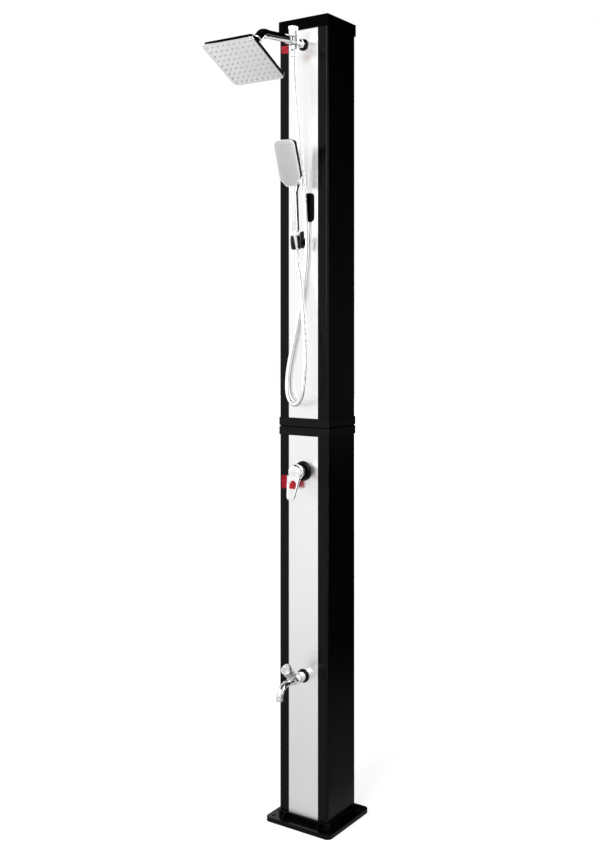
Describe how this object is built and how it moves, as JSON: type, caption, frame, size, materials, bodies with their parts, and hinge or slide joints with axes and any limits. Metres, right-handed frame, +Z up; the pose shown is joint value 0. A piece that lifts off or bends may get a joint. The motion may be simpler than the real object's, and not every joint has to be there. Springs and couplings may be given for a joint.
{
  "type": "outdoor shower post",
  "caption": "Free-standing outdoor shower column on a base plate, with a square rain head, a hand shower on a hose, a lever mixer and a foot tap.",
  "frame": {"origin": "centre of the base plate's underside, on the floor", "axes": "+Z up the column, -Y towards the side with the fittings, +X to the right of someone facing that side"},
  "size_m": [0.208, 0.5085, 2.17],
  "materials": {
    "black_profile": "smooth black profile",
    "black_gloss": "polished black",
    "silver_panel": "anodised silver sheet",
    "chrome": "polished",
    "brass": "machined",
    "steel": "plain",
    "rubber": "soft black",
    "pipe": "plain white pipe",
    "grey_nozzle": "soft grey",
    "spray_plate": "light grey",
    "hose_silver": "smooth silver hose",
    "dark_glass": "blank black window",
    "tag_red": "blank red card"
  },
  "bodies": {
    "column": {"base_flange": "black_profile", "base_screws": "steel", "lower_tank": "black_profile", "upper_tank": "black_profile", "lower_front_panel": "silver_panel", "upper_front_panel": "silver_panel", "lower_collar": "black_gloss", "upper_collar": "black_gloss", "joint_gasket": "rubber", "joint_sleeve": "black_profile", "joint_screws": "steel", "top_cap": "black_gloss", "lower_tank_base_plug": "pipe", "lower_tank_top_plug": "pipe", "upper_tank_base_plug": "pipe", "upper_tank_top_plug": "pipe", "transfer_tube": "pipe", "transfer_seals": "rubber", "drain_plug": "brass", "inlet_fitting": "chrome", "inlet_manifold": "brass", "cold_pipe_lower": "pipe", "supply_tee": "brass", "tap_branch_pipe": "pipe", "cold_pipe_upper": "pipe", "hot_pipe": "pipe", "mixed_pipe": "pipe", "diverter_rosette": "black_gloss", "diverter_body": "chrome", "shower_arm": "chrome", "head_ball_stud": "chrome", "hose_top_nut": "chrome", "shower_hose": "hose_silver", "holder_bracket": "black_gloss", "holder_clip": "black_gloss", "display_frame": "black_gloss", "display_glass": "dark_glass", "mixer_rosette": "black_gloss", "mixer_body": "chrome", "mixer_cartridge": "pipe", "tap_rosette": "black_gloss", "tap_body": "chrome", "tap_spout": "chrome", "hang_tags": "tag_red"},
    "diverter_handle": {"diverter_knob": "chrome", "diverter_spindle": "brass"},
    "head_joint": {"ball_retaining_nut": "chrome"},
    "rain_head": {"rain_head_shell": "chrome", "rain_head_face": "spray_plate", "rain_head_nozzles": "grey_nozzle"},
    "hand_shower": {"handset_body": "chrome", "handset_face": "spray_plate", "handset_nozzles": "grey_nozzle", "hose_cone_nut": "chrome"},
    "mixer_rotor": {"cartridge_rotor": "pipe"},
    "mixer_handle": {"mixer_stem": "brass", "mixer_lever": "chrome", "lever_grub_screw": "steel"},
    "tap_lever": {"tap_spindle": "brass", "tap_handle": "chrome"}
  },
  "joints": [
    {"name": "diverter_turn", "type": "hinge", "parent": "column", "child": "diverter_handle", "pos_m": [0, -0.117, 2.12], "axis": [0, 0, 1], "range_deg": [0, 90]},
    {"name": "head_tilt", "type": "hinge", "parent": "column", "child": "head_joint", "pos_m": [0, -0.32355, 2.02169], "axis": [1, 0, 0], "range_deg": [-34.5, 4.5]},
    {"name": "head_spin", "type": "hinge", "parent": "head_joint", "child": "rain_head", "pos_m": [0, -0.32355, 2.02169], "axis": [0, 0.4726, 0.8813], "continuous": true},
    {"name": "hand_shower_lift", "type": "slide", "parent": "column", "child": "hand_shower", "axis": [0, -0.0958, 0.9954], "range_m": [0, 0.045]},
    {"name": "mixer_turn", "type": "hinge", "parent": "column", "child": "mixer_rotor", "pos_m": [0, -0.093, 0.953], "axis": [0, -1, 0], "range_deg": [-45, 45]},
    {"name": "mixer_lift", "type": "hinge", "parent": "mixer_rotor", "child": "mixer_handle", "pos_m": [0, -0.096, 0.953], "axis": [-1, 0, 0], "range_deg": [0, 20]},
    {"name": "tap_turn", "type": "hinge", "parent": "column", "child": "tap_lever", "pos_m": [0, -0.111, 0.403], "axis": [0, -0.7071, 0.7071], "range_deg": [0, 90]}
  ]
}
